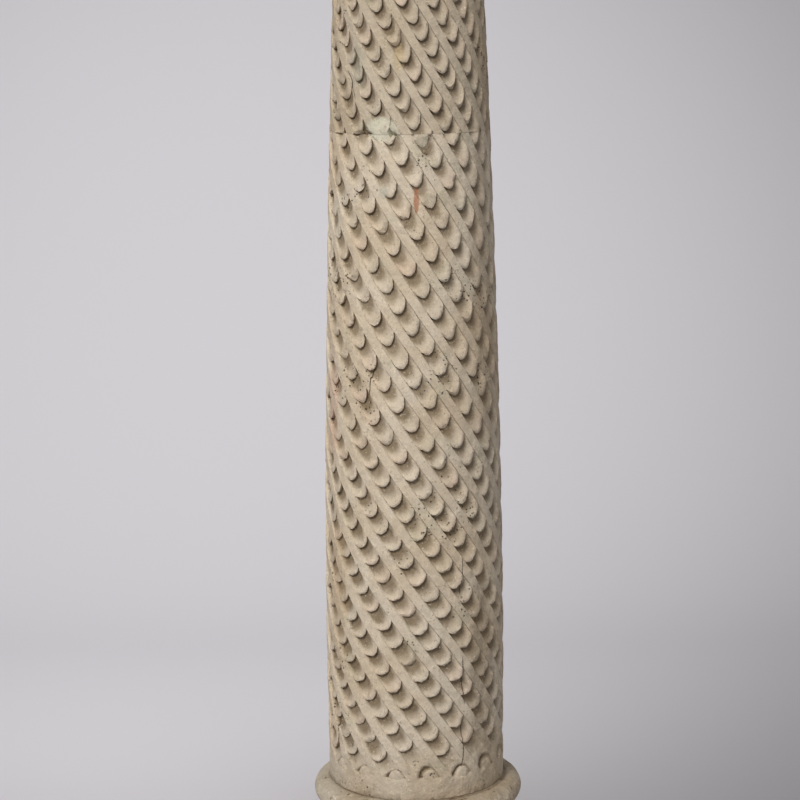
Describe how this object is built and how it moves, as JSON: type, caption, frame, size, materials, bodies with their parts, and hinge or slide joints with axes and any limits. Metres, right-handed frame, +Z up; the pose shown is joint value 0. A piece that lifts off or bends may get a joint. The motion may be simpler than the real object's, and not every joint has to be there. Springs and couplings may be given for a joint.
{
  "type": "carved wooden column",
  "caption": "Tapering wooden column shaft carved with winding straps and rows of tongue scales, on a rounded base ring, cut flat at the top.",
  "frame": {"origin": "middle of the underside of the base ring, on the ground", "axes": "+Z up the column's axis, -Y the side that the picture shows, +X to that side's right"},
  "size_m": [0.3494, 0.3494, 1.6303],
  "materials": {
    "base_paint": "worn cream paint",
    "shaft_paint": "old chalky matt paint",
    "shaft_paint_upper": "old chalky matt paint"
  },
  "bodies": {
    "root": {"base_ring": "base_paint", "shaft_lower": "shaft_paint", "shaft_upper": "shaft_paint_upper"}
  },
  "joints": []
}
